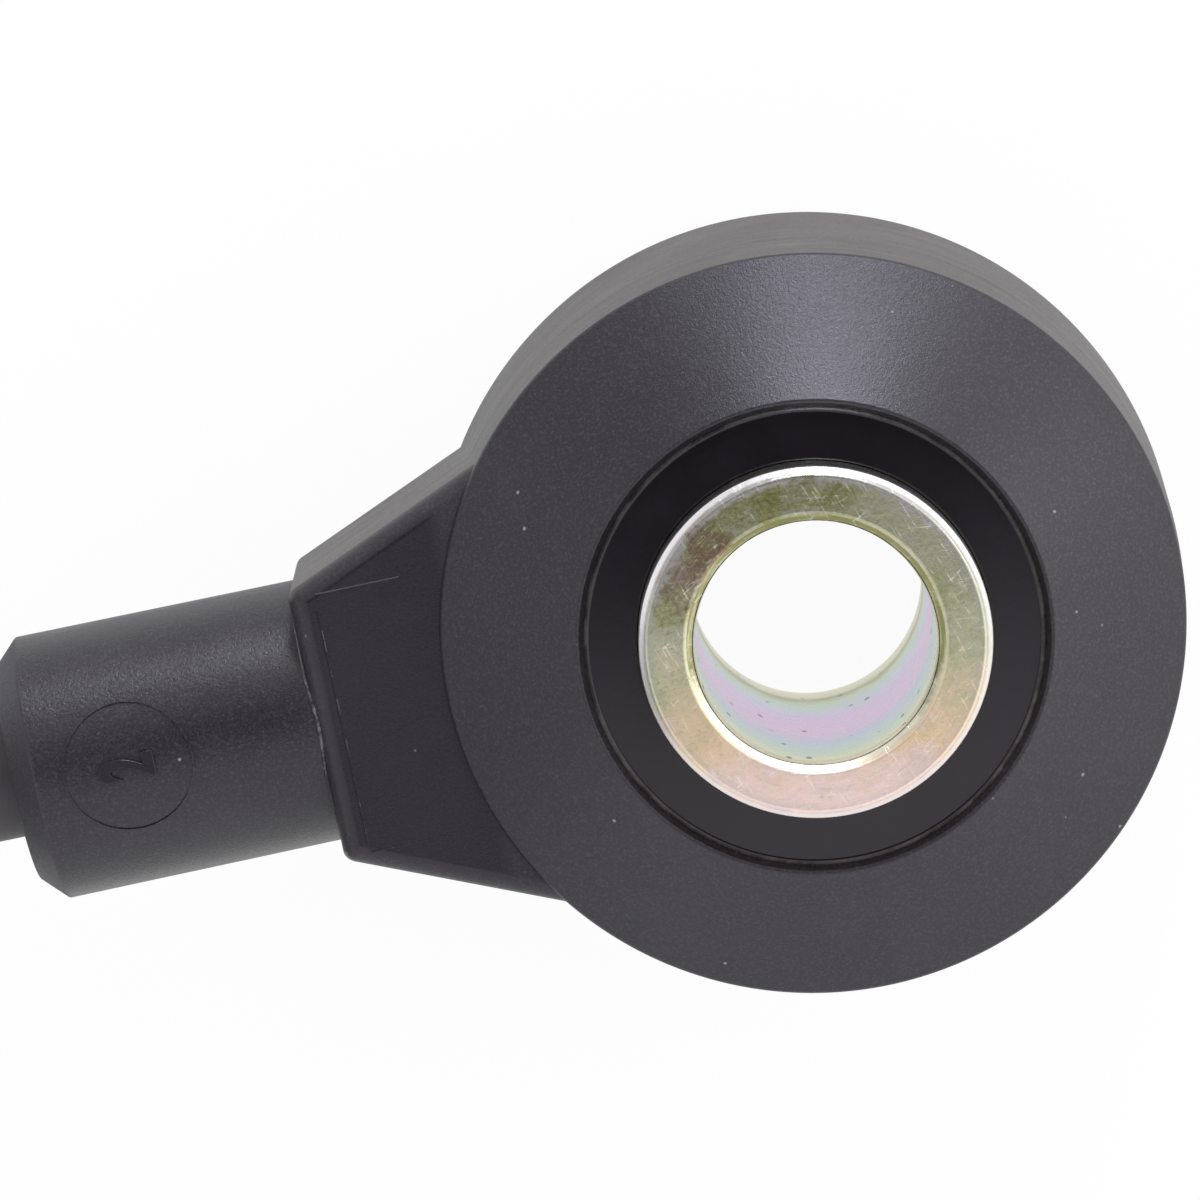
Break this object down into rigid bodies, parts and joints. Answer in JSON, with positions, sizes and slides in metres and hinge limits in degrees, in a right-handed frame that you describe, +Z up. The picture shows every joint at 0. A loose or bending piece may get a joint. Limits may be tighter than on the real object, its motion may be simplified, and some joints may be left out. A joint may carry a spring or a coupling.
{
  "type": "engine knock sensor",
  "caption": "Ring-shaped engine knock sensor: black moulded body on a yellow-passivated steel bolt sleeve, with a wound flying lead and a plug.",
  "frame": {"origin": "the bolt hole's axis, on the contact face that bears on the engine", "axes": "+Z up the bolt hole from the contact face to the bolt seat; the lead leaves along -X; +Y to the left of someone who looks along +X"},
  "size_m": [0.1163, 0.0586, 0.0236],
  "materials": {
    "moulding": "satin black, slightly oily",
    "yellow_steel": "yellow-passivated, turned",
    "plain_steel": "turned",
    "film": "amber film",
    "contact_metal": "sheet",
    "piezo_ceramic": "fired, matt",
    "strand": "bare copper strand",
    "signal_cover": "smooth",
    "ground_cover": "smooth",
    "braid": "tinned wire braid",
    "jacket": "dull grey-black jacket",
    "boot_rubber": "matt",
    "plug_plastic": "moulded",
    "lock_plastic": "moulded",
    "terminal_metal": "tinned",
    "seal_rubber": "smooth"
  },
  "bodies": {
    "root": {"housing": "moulding", "sleeve": "yellow_steel", "insulating_tube": "film", "lower_insulating_washer": "film", "lower_contact_disc": "contact_metal", "piezo_ring": "piezo_ceramic", "upper_contact_disc": "contact_metal", "upper_insulating_washer": "film", "seismic_mass": "plain_steel", "disc_spring": "plain_steel", "ring_nut": "yellow_steel", "signal_conductor": "strand", "signal_insulation": "signal_cover", "ground_conductor": "strand", "ground_insulation": "ground_cover", "shield_braid": "braid", "crimp_ferrule": "plain_steel", "cable_entry": "jacket", "cable": "jacket", "cable_coil": "jacket", "cable_tail": "jacket", "connector_boot": "boot_rubber", "cable_far_end": "jacket", "connector_housing": "plug_plastic", "terminal_lock": "lock_plastic", "terminal_1": "terminal_metal", "terminal_2": "terminal_metal", "terminal_3": "terminal_metal", "wire_seal_1": "seal_rubber", "wire_seal_2": "seal_rubber", "wire_seal_3": "seal_rubber", "lead_1": "signal_cover", "lead_2": "braid", "lead_3": "ground_cover"}
  },
  "joints": []
}
